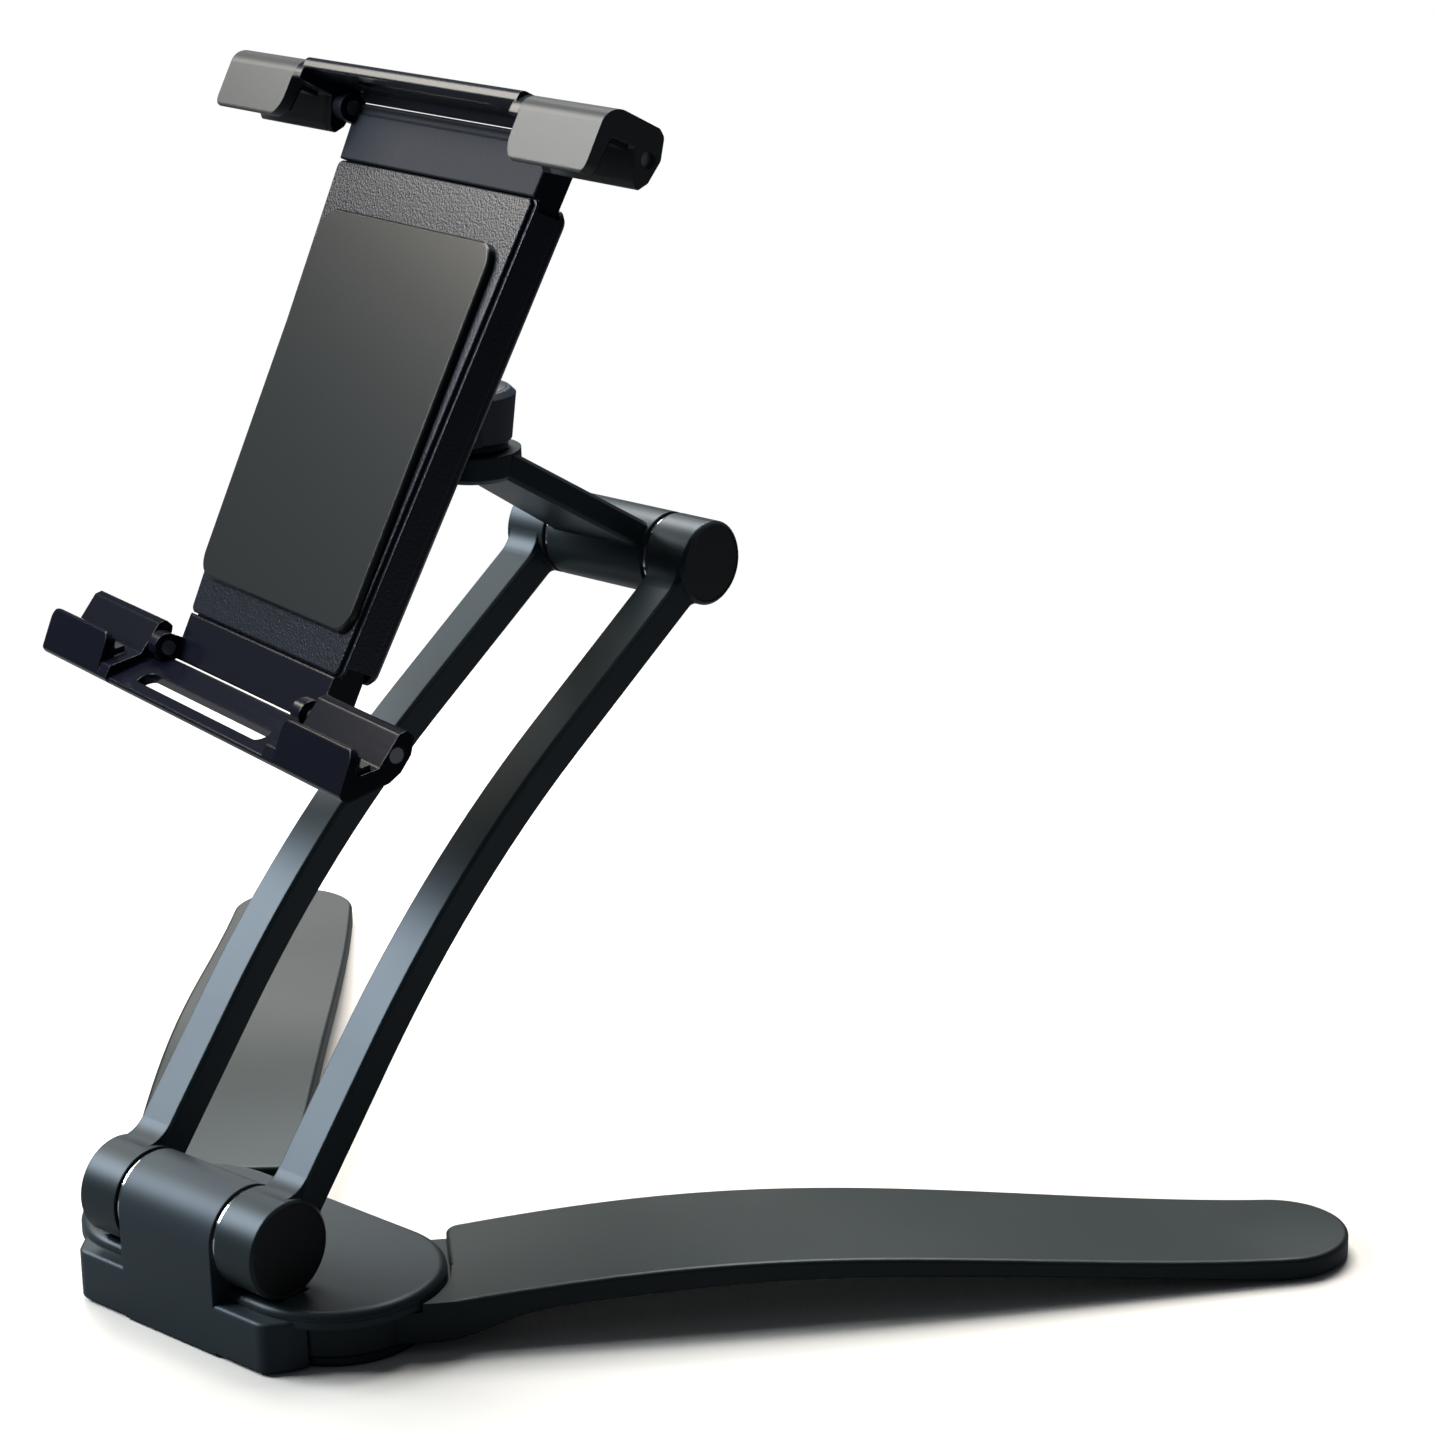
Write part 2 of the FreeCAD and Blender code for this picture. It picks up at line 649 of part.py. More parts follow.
def swivel_head():
    """A flat drum on a narrow neck with two cheeks for the tilt pin."""
    profile = [
        (0, HEAD_LOW), (HEAD_R - 1.9, HEAD_LOW), (HEAD_R - 1.9, HEAD_LOW + 1.0), (HEAD_R - 1.1, HEAD_LOW + 1.8),
        (HEAD_R - 0.4, HEAD_TOP - 4.5), (HEAD_R, HEAD_TOP - 1.2), (HEAD_R - 1.2, HEAD_TOP), (0, HEAD_TOP),
    ]
    points = [Vec(r, 0, z) for r, z in profile]
    drum = Part.Face(Part.makePolygon(points + points[:1])).revolve(Vec(0, 0, 0), Vec(0, 0, 1), 360)
    pieces = [drum]
    for side in (-1, 1):
        inner, outer = sorted((side * CHEEK_INNER, side * CHEEK_OUTER))
        cheek = block((inner, outer), (-TILT_AXIS_FORWARD, -2), (TILT_AXIS_Z - 2.4, TILT_AXIS_Z + CHEEK_R))
        eye = rod(CHEEK_R, Vec(inner, -TILT_AXIS_FORWARD, TILT_AXIS_Z), Vec(outer, -TILT_AXIS_FORWARD, TILT_AXIS_Z))
        pieces += [cheek, eye]
    head = joined(pieces)
    axis_low, axis_high = Vec(0, 0, HEAD_LOW - 10), Vec(0, 0, HEAD_TOP + 10)
    head = head.cut(rod(AXLE_R + BORE_GAP, axis_low, axis_high))
    head = head.cut(rod(NUT_R, Vec(0, 0, NUT_SEAT_Z), axis_high))
    head = head.cut(rod(HEAD_CAP_R, Vec(0, 0, HEAD_TOP - HEAD_CAP_T), axis_high))
    pin_low = Vec(-20, -TILT_AXIS_FORWARD, TILT_AXIS_Z)
    pin_high = Vec(20, -TILT_AXIS_FORWARD, TILT_AXIS_Z)
    return to_head(head.cut(rod(TILT_PIN_R, pin_low, pin_high)))


def swivel_cap():
    """The low domed button in the top of the head."""
    points = [Vec(0, 0, HEAD_TOP - HEAD_CAP_T), Vec(HEAD_CAP_R, 0, HEAD_TOP - HEAD_CAP_T)]
    for share in (1.0, 0.85, 0.6, 0.3, 0.0):
        points.append(Vec(share * HEAD_CAP_R, 0, HEAD_TOP + HEAD_CAP_RISE * (1 - share ** 2)))
    profile = Part.Face(Part.makePolygon(points + points[:1]))
    return to_head(profile.revolve(Vec(0, 0, 0), Vec(0, 0, 1), 360))


def tilt_pin():
    low = Vec(-CHEEK_OUTER - 0.4, -TILT_AXIS_FORWARD, TILT_AXIS_Z)
    high = Vec(CHEEK_OUTER + 0.4, -TILT_AXIS_FORWARD, TILT_AXIS_Z)
    return to_head(rod(TILT_PIN_R, low, high))


# clamp


def clamp_axes():
    """Origin and the u, v and n directions of the clamp in the shared frame."""
    yaw, tilt, roll = math.radians(YAW), math.radians(TILT), math.radians(ROLL)
    forward = Vec(math.sin(yaw), -math.cos(yaw), 0)
    across = Vec(math.cos(yaw), math.sin(yaw), 0)
    up = Vec(0, 0, 1)
    n = forward * math.cos(tilt) + up * math.sin(tilt)
    rise = up * math.cos(tilt) - forward * math.sin(tilt)
    u = across * math.cos(roll) + rise * math.sin(roll)
    v = rise * math.cos(roll) - across * math.sin(roll)
    tilt_axis = Vec(0, HEAD_Y, TILT_AXIS_Z) + forward * TILT_AXIS_FORWARD
    return tilt_axis + n * TILT_AXIS_TO_FACE, u, v, n


def to_clamp(shape):
    """From the clamp's own frame, X = u, Y = v and Z = n, to its place."""
    origin, u, v, n = clamp_axes()
    matrix = FreeCAD.Matrix(u.x, v.x, n.x, origin.x, u.y, v.y, n.y, origin.y, u.z, v.z, n.z, origin.z, 0, 0, 0, 1)
    placed = shape.copy()
    placed.Placement = FreeCAD.Placement(matrix).multiply(placed.Placement)
    return placed


def half_u(v):
    """Half the width of the clamp's face at the height v."""
    return PLATE_HALF_U + PLATE_TAPER * v


def flat_plate(low_half_u, high_half_u, low_v, high_v, radius, low_n, high_n):
    """A plate with straight tapered sides and rounded corners."""
    corners = [
        (-low_half_u, low_v, radius), (low_half_u, low_v, radius),
        (high_half_u, high_v, radius), (-high_half_u, high_v, radius),
    ]
    plate = rounded_face(corners, in_xy).extrude(Vec(0, 0, high_n - low_n))
    plate.translate(Vec(0, 0, low_n))
    return plate


def face_plate(margin, half_v, radius, low_n, high_n):
    """A plate with the clamp's taper, wider than its face by a margin on each side."""
    return flat_plate(half_u(-half_v) + margin, half_u(half_v) + margin, -half_v, half_v, radius, low_n, high_n)


def side_strips(inner, outer, v_range, n_range):
    """A strip along each side of the clamp; inner and outer give its u at any v."""
    low_v, high_v = v_range
    corners = [
        (inner(low_v), low_v, 0), (outer(low_v), low_v, 0), (outer(high_v), high_v, 0), (inner(high_v), high_v, 0),
    ]
    right = rounded_face(corners, in_xy).extrude(Vec(0, 0, n_range[1] - n_range[0]))
    right.translate(Vec(0, 0, n_range[0]))
    return [right, mirrored(right)]


def turntable():
    """The disc that the clamp turns on and the tongue that the tilt pin passes through."""
    flange_top = COVER_LOW - MOVING_GAP
    flange_low = flange_top - FLANGE_T
    flange = rod(FLANGE_R, Vec(0, 0, flange_low), Vec(0, 0, flange_top))
    axis_n = -TILT_AXIS_TO_FACE
    tongue_half = CHEEK_INNER - 0.4
    eye = rod(CHEEK_R - 0.3, Vec(-tongue_half, 0, axis_n), Vec(tongue_half, 0, axis_n))
    neck = block((-tongue_half, tongue_half), (-3.5, 3.5), (axis_n, flange_low))
    body = joined([eye, neck])
    roll_back = -ROLL
    body.rotate(Vec(0, 0, 0), Vec(0, 0, 1), roll_back)
    body = joined([body, flange])
    pin_hole = rod(TILT_PIN_R + BORE_GAP, Vec(-20, 0, axis_n), Vec(20, 0, axis_n))
    pin_hole.rotate(Vec(0, 0, 0), Vec(0, 0, 1), roll_back)
    body = body.cut(pin_hole)
    return to_clamp(body.cut(rod(AXLE_R, Vec(0, 0, flange_low - 1), Vec(0, 0, 0))))


def turntable_pin():
    """The headed pin that holds the clamp to the turntable."""
    head_low = SHELL_LOW + MOVING_GAP
    shank = rod(AXLE_R, Vec(0, 0, COVER_LOW - MOVING_GAP - FLANGE_T), Vec(0, 0, head_low))
    head = rod(TURN_PIN_HEAD_R, Vec(0, 0, head_low), Vec(0, 0, head_low + TURN_PIN_HEAD_T))
    return to_clamp(joined([shank, head]))


def front_plate():
    """The face of the clamp, the wider shell edge under it, thin side walls and four screw posts."""
    face = face_plate(0, PLATE_HALF_V, PLATE_CORNER_R, -FACE_T, 0)
    front_rim = [e for e in face.Edges if abs(e.BoundBox.ZMin) < 1e-6]
    face = face.makeChamfer(0.3, front_rim)
    edge = face_plate(SHELL_MARGIN, PLATE_HALF_V, PLATE_CORNER_R, -PLATE_T, -FACE_T)
    outer_gap = SHELL_MARGIN - WALL_T
    wall_v = PLATE_HALF_V - 2.0
    walls = side_strips(lambda v: half_u(v) + outer_gap, lambda v: half_u(v) + SHELL_MARGIN,
                        (-wall_v, wall_v), (SHELL_LOW, -PLATE_T))
    posts = [rod(POST_R, Vec(u, v, SHELL_LOW), Vec(u, v, -PLATE_T)) for u, v in screw_spots()]
    body = joined([face, edge] + walls + posts)
    for u, v in screw_spots():
        body = body.cut(rod(COVER_SCREW_R, Vec(u, v, SHELL_LOW - 1), Vec(u, v, -2.2)))
    return to_clamp(body)


def screw_spots():
    """Where the four cover screws stand."""
    post_v = PLATE_HALF_V - POST_FROM_EDGE
    return [(a * SLOT_U, b * post_v) for a in (-1, 1) for b in (-1, 1)]


def back_cover():
    """The rear shell plate with a bore for the turntable pin, four screw holes and two spring pegs."""
    plate = face_plate(SHELL_MARGIN, PLATE_HALF_V, 3.0, COVER_LOW, SHELL_LOW)
    rear_rim = [e for e in plate.Edges if abs(e.BoundBox.ZMax - COVER_LOW) < 1e-6]
    plate = plate.makeChamfer(0.8, rear_rim)
    plate = plate.cut(rod(AXLE_R + BORE_GAP, Vec(0, 0, COVER_LOW - 1), Vec(0, 0, 0)))
    for u, v in screw_spots():
        plate = plate.cut(rod(COVER_SCREW_R, Vec(u, v, COVER_LOW - 1), Vec(u, v, 0)))
        plate = plate.cut(rod(COVER_SCREW_HEAD_R, Vec(u, v, COVER_LOW - 1), Vec(u, v, COVER_LOW + 0.9)))
    for side in (-1, 1):
        anchor = Vec(side * (SPRING_U + SPRING_R), -side * SPRING_PEG_V, SHELL_LOW)
        plate = joined([plate, rod(SPRING_PEG_R, anchor, anchor + Vec(0, 0, 2.6))])
    return to_clamp(plate)


def cover_screws():
    screws = []
    for u, v in screw_spots():
        head = rod(COVER_SCREW_HEAD_R, Vec(u, v, COVER_LOW), Vec(u, v, COVER_LOW + 0.9))
        shank = rod(COVER_SCREW_R, Vec(u, v, COVER_LOW + 0.9), Vec(u, v, -2.2))
        screws.append(joined([head, shank]))
    return to_clamp(Part.makeCompound(screws))


def face_pad():
    """The rubber pad on the face of the clamp."""
    pad = flat_plate(PAD_LOW_HALF_U, PAD_HIGH_HALF_U, PAD_LOW_V, PAD_HIGH_V, PAD_CORNER_R, 0, PAD_T)
    front_rim = [e for e in pad.Edges if abs(e.BoundBox.ZMin - PAD_T) < 1e-6]
    return to_clamp(pad.makeChamfer(0.4, front_rim))


def clamp_spring(side):
    """A close wound coil, drawn as its sleeve, with straight ends that reach its two pegs."""
    end_v = SPRING_PEG_V - SPRING_PEG_R - MOVING_GAP
    half = SPRING_COIL_HALF
    outer = SPRING_R + SPRING_WIRE_R
    sleeve = tube(outer, outer - 2 * SPRING_WIRE_R, Vec(0, -half, 0), Vec(0, half, 0))
    tails = [rod(SPRING_WIRE_R, Vec(SPRING_R, -end_v, 0), Vec(SPRING_R, -half, 0)),
             rod(SPRING_WIRE_R, Vec(SPRING_R, half, 0), Vec(SPRING_R, end_v, 0))]
    spring = joined([sleeve] + tails)
    if side < 0:
        spring.rotate(Vec(0, 0, 0), Vec(0, 0, 1), 180)
    spring.translate(Vec(side * SPRING_U, 0, SPRING_N))
    return spring


def clamp_springs():
    return to_clamp(Part.makeCompound([clamp_spring(side) for side in (-1, 1)]))


def slide_half_u(side, v):
    """Half the width of the upper (+1) or lower (-1) slide at a distance v from the middle."""
    return half_u(v) if side > 0 else LOWER_SLIDE_HALF_U


def slide(pin, side):
    """A sliding tray: plate, outer land level with the face, side flanges, a long rail and an ear at each side."""
    reach = abs(pin[0])
    low_n = SLIDE_TOP - SLIDE_T
    land_start = PLATE_HALF_V + MOVING_GAP
    land_end = reach + SLIDE_LAND_END
    root, start, end = [slide_half_u(side, v) for v in (SLIDE_INNER_V, land_start, land_end)]
    plate = flat_plate(root, start, SLIDE_INNER_V, land_start, 0, low_n, SLIDE_TOP)
    land = flat_plate(start, end, land_start, land_end, 0, low_n, 0)
    top_rim = [e for e in land.Edges if abs(e.BoundBox.ZMin) < 1e-6]
    pieces = [plate, land.makeChamfer(0.3, top_rim)]
    pieces += side_strips(lambda v: slide_half_u(side, v) - FLANGE_WALL, lambda v: slide_half_u(side, v),
                          (SLIDE_INNER_V, land_end), (SHELL_LOW + MOVING_GAP, low_n))
    pieces.append(block((-end + 1, end - 1), (land_end - FLANGE_WALL, land_end), (SHELL_LOW + MOVING_GAP, low_n)))
    rail_low = low_n - MOVING_GAP - RAIL_DEPTH
    rail_range = (RAIL_U - RAIL_HALF, RAIL_U + RAIL_HALF)
    pieces.append(block(rail_range, (-RAIL_REACH, RAIL_ROOT), (rail_low, low_n - MOVING_GAP)))
    pieces.append(block(rail_range, (SLIDE_INNER_V + 1, RAIL_ROOT), (low_n - MOVING_GAP, low_n)))
    peg = Vec(SPRING_U + SPRING_R, SPRING_PEG_V, rail_low)
    pieces.append(rod(SPRING_PEG_R, peg, Vec(peg.x, peg.y, low_n)))
    pieces += ears(pin, side)
    body = joined(pieces)
    post_v = PLATE_HALF_V - POST_FROM_EDGE
    for end_side in (-1, 1):
        slot = (end_side * SLOT_U - SLOT_HALF, end_side * SLOT_U + SLOT_HALF)
        body = body.cut(block(slot, (-1, post_v + POST_R + 0.6), (-9, 0)))
    across = 2 * PLATE_HALF_U
    body = body.cut(rod(JAW_PIN_R, Vec(-across, reach, pin[1]), Vec(across, reach, pin[1])))
    if side < 0:
        body.rotate(Vec(0, 0, 0), Vec(0, 0, 1), 180)
    return to_clamp(body)


def ear_span(pin, side):
    """Where the ears of a slide begin and end, measured from the middle."""
    half = slide_half_u(side, abs(pin[0]))
    return half - EAR_INSIDE, half + EAR_OUTSIDE


def ears(pin, side):
    """The round ears that hold the jaw pins, on short feet beside the land."""
    reach, pin_n = abs(pin[0]), pin[1]
    inner, outer = ear_span(pin, side)
    low_n = SLIDE_TOP - SLIDE_T
    right = joined([
        rod(EAR_R, Vec(inner, reach, pin_n), Vec(outer, reach, pin_n)),
        block((inner, outer), (reach - EAR_R, reach + SLIDE_LAND_END), (low_n, pin_n)),
    ])
    return [right, mirrored(right)]


def jaw_pins(pin, side, spans, sunk):
    """The two pins of a jaw, pressed into the slide's ears."""
    pin_v, pin_n = pin
    inner = ear_span(pin, side)[0]
    right = rod(JAW_PIN_R, Vec(inner, pin_v, pin_n), Vec(spans[2] - sunk, pin_v, pin_n))
    return to_clamp(Part.makeCompound([right, mirrored(right)]))


def jaw_bar(corners, pin, low_u, high_u):
    """A length of jaw section; each corner is (away from the plate, outward, radius) from the pin."""
    pin_v, pin_n = pin
    out = 1 if pin_v > 0 else -1
    face = rounded_face(corners, lambda a, b: Vec(low_u, pin_v + out * b, pin_n + a))
    return face.extrude(Vec(high_u - low_u, 0, 0))


def upper_sections():
    """Hook, knuckle and shelf sections of the upper jaw."""
    hook = [
        (-2.4, 0.7, 1.5), (-1.4, 4.9, 1.5), (0.0, 6.0, 1.0), (11.5, 6.6, 3.6), (11.7, -7.0, 0.6),
        (9.6, -6.6, 0.6), (8.8, 1.1, 0.8), (3.5, 1.1, 0.6), (1.5, -4.6, 0.6), (0.2, -6.1, 0.6), (-1.5, -3.9, 0.8),
    ]
    knuckle = [
        (-2.4, 0.7, 1.5), (-1.4, 4.9, 1.5), (0.0, 6.0, 1.0), (11.5, 6.6, 3.6), (11.6, 1.6, 0.4),
        (3.5, 1.1, 0.6), (1.5, -4.6, 0.6), (0.2, -6.1, 0.6), (-1.5, -3.9, 0.8),
    ]
    shelf = [
        (-2.4, 1.9, 0.2), (-1.4, 4.9, 1.5), (0.0, 6.0, 1.0), (11.2, 6.6, 1.2), (11.4, 4.0, 0.4),
        (-0.5, 3.4, 0.3), (-0.9, 1.9, 0.2),
    ]
    return hook, knuckle, shelf


def lower_sections():
    """Hook, knuckle and shelf sections of the lower jaw."""
    hook = [
        (-2.6, -1.0, 1.5), (-1.9, 2.6, 1.5), (-0.4, 5.2, 1.0), (6.6, 11.4, 1.4), (8.2, 10.4, 1.0),
        (8.8, 1.4, 0.6), (7.1, 1.4, 0.6), (6.6, 6.3, 0.8), (2.6, 3.3, 0.6), (1.1, -3.8, 0.6), (-0.1, -4.9, 0.6),
        (-1.9, -4.3, 0.8),
    ]
    knuckle = [
        (-2.6, -1.0, 1.5), (-1.9, 2.6, 1.5), (-0.4, 5.2, 1.0), (6.6, 11.4, 1.4), (8.2, 10.4, 0.4),
        (8.0, 7.6, 0.4), (2.6, 3.3, 0.6), (1.1, -3.8, 0.6), (-0.1, -4.9, 0.6), (-1.9, -4.3, 0.8),
    ]
    shelf = [
        (-3.4, 1.9, 0.2), (-2.6, 3.4, 0.8), (-0.4, 5.6, 1.0), (6.6, 11.4, 1.0), (8.0, 10.2, 0.6),
        (0.4, 3.4, 0.8), (-1.2, 1.9, 0.2),
    ]
    return hook, knuckle, shelf


def jaw(pin, side, sections, spans, lip_corners):
    """A long shelf with a hook at each end, bored for its pins, and an oval slot between the hooks."""
    hook, knuckle, shelf = sections
    knuckle_start, hook_start, half = spans
    pin_v, pin_n = pin
    pieces = [jaw_bar(shelf, pin, -knuckle_start - 1, knuckle_start + 1)]
    for low, high in ((hook_start, half), (-half, -hook_start)):
        pieces.append(jaw_bar(hook, pin, low, high))
    for low, high in ((knuckle_start, hook_start), (-hook_start, -knuckle_start)):
        pieces.append(jaw_bar(knuckle, pin, low, high))
    body = joined(pieces)
    inner, outer = ear_span(pin, side)
    for end in (-1, 1):
        bore_start, bore_end = Vec(end * (inner - 1), pin_v, pin_n), Vec(end * (half + 1), pin_v, pin_n)
        body = body.cut(rod(JAW_PIN_R + BORE_GAP, bore_start, bore_end))
        ear_start, ear_end = Vec(end * (inner - MOVING_GAP), pin_v, pin_n), Vec(end * knuckle_start, pin_v, pin_n)
        body = body.cut(rod(EAR_R + MOVING_GAP, ear_start, ear_end))
        for cutter in lip_cutters(pin, hook, spans, lip_corners, end):
            body = body.cut(cutter)
    body = body.cut(shelf_slot(pin, shelf))
    return to_clamp(body)


def lip_cutters(pin, hook, spans, radii, end):
    """What rounds off the two free corners of one front lip, seen from the front."""
    pin_v, pin_n = pin
    out = 1 if pin_v > 0 else -1
    lip_v = pin_v + out * min(b for a, b, r in hook if a > 7)
    cutters = []
    for u, inward, radius in ((spans[1], 1, radii[0]), (spans[2], -1, radii[1])):
        centre = Vec(end * (u + inward * radius), lip_v + out * radius, pin_n + 4.0)
        corner_u = sorted((end * u, centre.x))
        corner_v = sorted((lip_v, centre.y))
        square = block(corner_u, corner_v, (centre.z, pin_n + 15))
        cutters.append(square.cut(rod(radius, centre, Vec(centre.x, centre.y, pin_n + 15))))
    return cutters


def shelf_slot(pin, shelf):
    """The oval slot, cut square to the shelf's outer face."""
    pin_v, pin_n = pin
    out = 1 if pin_v > 0 else -1
    rear, front = shelf[2], shelf[3]
    slope = math.degrees(math.atan2(front[1] - rear[1], front[0] - rear[0]))
    centre_a = (rear[0] + front[0]) / 2
    centre_b = (rear[1] + front[1]) / 2
    run = JAW_SLOT_HALF - JAW_SLOT_R
    slot = block((-run, run), (-10, 10), (-JAW_SLOT_R, JAW_SLOT_R))
    for end in (-run, run):
        slot = slot.fuse(rod(JAW_SLOT_R, Vec(end, -10, 0), Vec(end, 10, 0)))
    slot.rotate(Vec(0, 0, 0), Vec(1, 0, 0), -out * slope)
    slot.translate(Vec(0, pin_v + out * centre_b, pin_n + centre_a))
    return slot


def hook_pads(pin, corners, spans):
    """The rubber strips in the two hooks."""
    low, high = spans[1] + 1.2, spans[2] - 1.2
    return to_clamp(Part.makeCompound([jaw_bar(corners, pin, low, high), jaw_bar(corners, pin, -high, -low)]))


def upper_jaw_pads():
    corners = [(4.2, 1.1, 0), (8.75, 1.1, 0.9), (9.3, -4.8, 0), (8.6, -4.6, 0.2), (8.0, 0.1, 0.5), (4.2, 0.1, 0.2)]
    return hook_pads(UPPER_PIN, corners, UPPER_SPANS)


def lower_jaw_pads():
    corners = [(3.5, 3.95, 0), (6.55, 6.2, 0.9), (6.95, 2.4, 0), (6.2, 2.4, 0.2), (5.8, 4.5, 0.4), (4.0, 3.1, 0.1)]
    return hook_pads(LOWER_PIN, corners, LOWER_SPANS)


def all_nodes():
    """Every piece by its name."""
    arm = right_arm()
    leg = right_leg()
    leg_pad = right_leg_pad()
    return {
        "base_housing": base_housing(),
        "pivot_cover": pivot_cover(),
        "bottom_plate": bottom_plate(),
        "base_screws": base_screws(),
        "base_pad": base_pad(),
        "leg_washers": leg_washers(),
        "lower_trim_rings": trim_rings(LOWER_BARREL_R, 0, HINGE_Z),
        "lower_bushes": hinge_bushes(0, HINGE_Z),
        "right_leg": leg,
        "left_leg": mirrored(leg),
        "right_leg_pad": leg_pad,
        "left_leg_pad": mirrored(leg_pad),
        "right_arm": arm,
        "left_arm": mirrored(arm),
        "lower_axle": axle(0, HINGE_Z),
        "lower_axle_nuts": axle_nuts(0, HINGE_Z),
        "lower_end_caps": end_caps(LOWER_BARREL_R, 0, HINGE_Z),
        "upper_axle": axle(UPPER_HINGE_Y, UPPER_HINGE_Z),
        "upper_axle_nuts": axle_nuts(UPPER_HINGE_Y, UPPER_HINGE_Z),
        "upper_end_caps": end_caps(UPPER_BARREL_R, UPPER_HINGE_Y, UPPER_HINGE_Z),
        "link_arm": link_arm(),
        "upper_trim_rings": trim_rings(UPPER_BARREL_R, UPPER_HINGE_Y, UPPER_HINGE_Z),
        "upper_bushes": hinge_bushes(UPPER_HINGE_Y, UPPER_HINGE_Z),
        "swivel_bolt": swivel_bolt(),
        "swivel_head": swivel_head(),
        "swivel_cap": swivel_cap(),
        "tilt_pin": tilt_pin(),
        "turntable": turntable(),
        "turntable_pin": turntable_pin(),
        "front_plate": front_plate(),
        "back_cover": back_cover(),
        "cover_screws": cover_screws(),
        "face_pad": face_pad(),
        "clamp_springs": clamp_springs(),
        "upper_slide": slide(UPPER_PIN, 1),
        "lower_slide": slide(LOWER_PIN, -1),
        "upper_jaw_pins": jaw_pins(UPPER_PIN, 1, UPPER_SPANS, UPPER_PIN_SUNK),
        "lower_jaw_pins": jaw_pins(LOWER_PIN, -1, LOWER_SPANS, LOWER_PIN_SUNK),
        "upper_jaw": jaw(UPPER_PIN, 1, upper_sections(), UPPER_SPANS, UPPER_LIP_CORNERS),
        "lower_jaw": jaw(LOWER_PIN, -1, lower_sections(), LOWER_SPANS, LOWER_LIP_CORNERS),
        "upper_jaw_pads": upper_jaw_pads(),
        "lower_jaw_pads": lower_jaw_pads(),
    }


os.makedirs("parts", exist_ok=True)
for name, shape in all_nodes().items():
    shape.exportStep(os.path.join("parts", name + ".step"))
    print(name, "solids", len(shape.Solids), "valid", shape.isValid(), "volume", round(shape.Volume, 1))
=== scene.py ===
# %% [markdown]
# A folding tablet stand on a white table: two flat legs in a V, a hinge base, bent twin arms, a swivel
# head and a sprung clamp. Its form could be modelled again here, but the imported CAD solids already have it,
# down to the rounded edges. So this script gives each solid the surface of its real material, and adds the
# table, the light and the camera.

# %% Imports and the fixed frame
import math

import bmesh
import bpy
from mathutils import Matrix, Vector

MM = 0.001

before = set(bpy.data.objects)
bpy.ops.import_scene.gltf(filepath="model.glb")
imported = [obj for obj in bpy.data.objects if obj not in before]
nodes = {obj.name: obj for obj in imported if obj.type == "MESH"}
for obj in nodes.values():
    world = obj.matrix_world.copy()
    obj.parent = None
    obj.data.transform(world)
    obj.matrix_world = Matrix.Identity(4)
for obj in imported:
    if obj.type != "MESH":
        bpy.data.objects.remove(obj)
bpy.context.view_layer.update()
print("pieces in the frame:", len(nodes))

# %% [markdown]
# Blender's shaders work with linear light, but a person picks colours as sRGB hex. One function turns the
# hex linear, so that every colour below can be written as it looks. A second one adds a node with its
# settings and links in one call, which keeps each material short enough to read as a recipe.

# %% Colour and node helpers


def linear(hex_colour, alpha=1.0):
    """Linear RGBA from an sRGB hex colour."""
    channels = []
    for k in (1, 3, 5):
        value = int(hex_colour[k:k + 2], 16) / 255
        channels.append(value / 12.92 if value <= 0.04045 else ((value + 0.055) / 1.055) ** 2.4)
    return (*channels, alpha)


def add(tree, kind, inputs=None, **settings):
    """A shader node with its settings; an input is a value or another node's output."""
    node = tree.nodes.new(kind)
    for name, value in settings.items():
        setattr(node, name, value)
    for name, value in (inputs or {}).items():
        if isinstance(value, bpy.types.NodeSocket):
            tree.links.new(value, node.inputs[name])
        else:
            node.inputs[name].default_value = value
    return node


def new_material(name):
    """An empty node material and its output node."""
    material = bpy.data.materials.new(name)
    material.use_nodes = True
    tree = material.node_tree
    tree.nodes.clear()
    output = add(tree, "ShaderNodeOutputMaterial")
    return material, tree, output


def finish_surface(tree, output, shader):
    tree.links.new(shader.outputs[0], output.inputs["Surface"])


print("#808080 is linear", round(linear("#808080")[0], 3))

# %% [markdown]
# Real edges are never perfectly sharp. They could be cut into the mesh with a Bevel modifier, but the CAD
# meshes stay as they are. A bevel node turns only the shading over the last fraction of a millimetre, so
# that each edge catches a thin line of light. Moulded and sprayed skins also have a grain. It is a noise on
# Object coordinates, in millimetres, that tips the same normal a little further. Most real grain is too fine
# to show in the picture, so it is drawn as coarse as it needs to be.

# %% Soft edges with a grain
BEVEL_SAMPLES = 4
NOISE_DETAIL = 2.0


def grained_edge_normal(tree, edge_mm, grain_mm, depth_mm, strength):
    """A shading normal that turns softly over each edge and carries a fine grain."""
    edge = add(tree, "ShaderNodeBevel", {"Radius": edge_mm * MM}, samples=BEVEL_SAMPLES)
    place = add(tree, "ShaderNodeTexCoord")
    grain = add(tree, "ShaderNodeTexNoise", {
        "Vector": place.outputs["Object"], "Scale": 1 / (grain_mm * MM), "Detail": NOISE_DETAIL,
    })
    bump = add(tree, "ShaderNodeBump", {
        "Strength": strength, "Distance": depth_mm * MM, "Height": grain.outputs["Fac"],
        "Normal": edge.outputs["Normal"],
    })
    return bump.outputs["Normal"]


# %% [markdown]
# The stand's metal is aluminium under a dark satin coating: cast for the base, bent bar for the arms and
# arched plate for the legs. A metallic shader would be the first thought, but the coating hides the metal,
# so the shader is a dark plastic skin. The blue-grey of the bright faces belongs to the reflection alone
# and sits in the specular tint, which leaves the shaded faces nearly black. Sprayed coats dry with a faint
# orange peel, and their gloss varies a little over a few centimetres.

